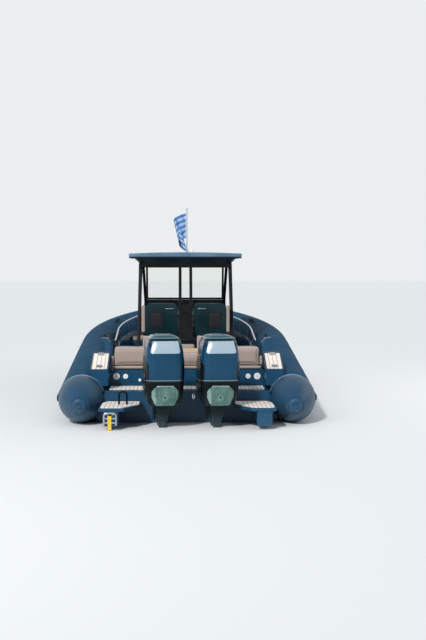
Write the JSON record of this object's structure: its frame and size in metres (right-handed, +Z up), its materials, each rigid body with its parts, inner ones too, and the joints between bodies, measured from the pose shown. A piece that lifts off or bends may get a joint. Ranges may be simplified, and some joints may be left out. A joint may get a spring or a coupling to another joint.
{
  "type": "inflatable rib boat",
  "caption": "Rigid inflatable boat with deep V hull, inflatable collar, hardtop helm, stern platforms and two outboard engines that tilt and steer.",
  "frame": {"origin": "on the centreline, at the waterline and in the plane of the transom", "axes": "+Y forward to the bow, +X to starboard, +Z up"},
  "size_m": [3.6212, 10.6162, 3.833],
  "materials": {
    "tube_fabric": "matt coated fabric, slate navy",
    "cone_rubber": "matt moulded rubber, dark navy",
    "strake_rubber": "ribbed rubber strake",
    "fitting_rubber": "moulded black fittings",
    "hull_gelcoat": "glossy navy gelcoat",
    "moulding_gelcoat": "glossy navy gelcoat",
    "tread": "cream synthetic decking with tan lines",
    "taupe_cushion": "taupe marine upholstery",
    "seat_shell": "glossy black-green moulding",
    "console_gelcoat": "glossy navy gelcoat",
    "dark_frame": "powder-coated near-black navy",
    "screen_glass": "smoked acrylic",
    "steel": "polished stainless steel",
    "white_plastic": "white moulded plastic",
    "display": "black glass displays",
    "black_plastic": "black moulded plastic",
    "flag_cloth": "blue and white striped bunting",
    "yellow_strap": "yellow webbing",
    "engine_navy": "glossy navy cowl",
    "engine_silver": "silver cowl band",
    "engine_black": "black cowl cap",
    "engine_green": "grey-green lower cowl",
    "engine_leg": "dark painted casting",
    "engine_bracket": "dark painted bracket",
    "propeller_steel": "polished stainless propeller"
  },
  "bodies": {
    "root": {"tube_starboard": "tube_fabric", "tube_port": "tube_fabric", "tube_bow": "tube_fabric", "tube_cones": "cone_rubber", "rub_strake": "strake_rubber", "tube_fittings": "fitting_rubber", "hull": "hull_gelcoat", "sole": "tread", "stern_moulding": "moulding_gelcoat", "quarter_mouldings": "moulding_gelcoat", "aft_seat_pad": "taupe_cushion", "aft_backrest": "taupe_cushion", "aft_arm_pads": "taupe_cushion", "cockpit_table": "tread", "table_pedestal": "steel", "swim_platforms": "moulding_gelcoat", "stern_treads": "tread", "ladder": "steel", "ladder_strap": "yellow_strap", "boarding_hoop": "steel", "stern_discs": "white_plastic", "helm_module": "moulding_gelcoat", "bench_cushions": "taupe_cushion", "seat_shells": "seat_shell", "seat_cushions": "taupe_cushion", "console": "console_gelcoat", "console_pad": "taupe_cushion", "dash_displays": "display", "throttle": "black_plastic", "windscreen": "screen_glass", "hardtop_frame": "dark_frame", "hardtop": "console_gelcoat", "pylon": "dark_frame", "flag_staff": "steel", "ensign": "flag_cloth", "stern_light": "white_plastic", "bow_moulding": "moulding_gelcoat", "bow_cushions": "taupe_cushion", "side_rails": "steel", "cleats": "steel", "port_bracket": "engine_bracket", "starboard_bracket": "engine_bracket"},
    "bow_hatch": {"bow_hatch": "moulding_gelcoat"},
    "helm_wheel": {"helm_wheel": "black_plastic"},
    "port_tilt_unit": {"port_swivel": "engine_bracket"},
    "port_drive_unit": {"port_leg": "engine_leg", "port_lower_cowl": "engine_black", "port_lower_panel": "engine_green", "port_cowl": "engine_navy", "port_cowl_cap": "engine_black", "port_cowl_band": "engine_silver"},
    "port_prop": {"port_propeller": "propeller_steel"},
    "starboard_tilt_unit": {"starboard_swivel": "engine_bracket"},
    "starboard_drive_unit": {"starboard_leg": "engine_leg", "starboard_lower_cowl": "engine_black", "starboard_lower_panel": "engine_green", "starboard_cowl": "engine_navy", "starboard_cowl_cap": "engine_black", "starboard_cowl_band": "engine_silver"},
    "starboard_prop": {"starboard_propeller": "propeller_steel"}
  },
  "joints": [
    {"name": "hatch_hinge", "type": "hinge", "parent": "root", "child": "bow_hatch", "pos_m": [0, 8.65312, 0.978], "axis": [1, 0, 0], "range_deg": [0, 95]},
    {"name": "wheel_turn", "type": "hinge", "parent": "root", "child": "helm_wheel", "pos_m": [0.37, 4.385, 1.125], "axis": [0, -0.9063, 0.4226], "range_deg": [-648, 972]},
    {"name": "port_tilt", "type": "hinge", "parent": "root", "child": "port_tilt_unit", "pos_m": [-0.345, -0.03, 0.43], "axis": [-1, 0, 0], "range_deg": [0, 65]},
    {"name": "port_steer", "type": "hinge", "parent": "port_tilt_unit", "child": "port_drive_unit", "pos_m": [-0.345, -0.2, 0.2], "axis": [0, 0, 1], "range_deg": [-36, 24]},
    {"name": "port_prop_spin", "type": "hinge", "parent": "port_drive_unit", "child": "port_prop", "pos_m": [-0.30222, -0.60701, -0.548], "axis": [-0.1045, 0.9945, 0], "continuous": true},
    {"name": "starboard_tilt", "type": "hinge", "parent": "root", "child": "starboard_tilt_unit", "pos_m": [0.345, -0.03, 0.43], "axis": [-1, 0, 0], "range_deg": [0, 65]},
    {"name": "starboard_steer", "type": "hinge", "parent": "starboard_tilt_unit", "child": "starboard_drive_unit", "pos_m": [0.345, -0.2, 0.2], "axis": [0, 0, 1], "range_deg": [-36, 24]},
    {"name": "starboard_prop_spin", "type": "hinge", "parent": "starboard_drive_unit", "child": "starboard_prop", "pos_m": [0.38778, -0.60701, -0.548], "axis": [-0.1045, 0.9945, 0], "continuous": true}
  ],
  "couplings": [
    {"joint": "port_steer", "follows": "wheel_turn", "ratio": -0.037037},
    {"joint": "starboard_steer", "follows": "wheel_turn", "ratio": -0.037037}
  ]
}
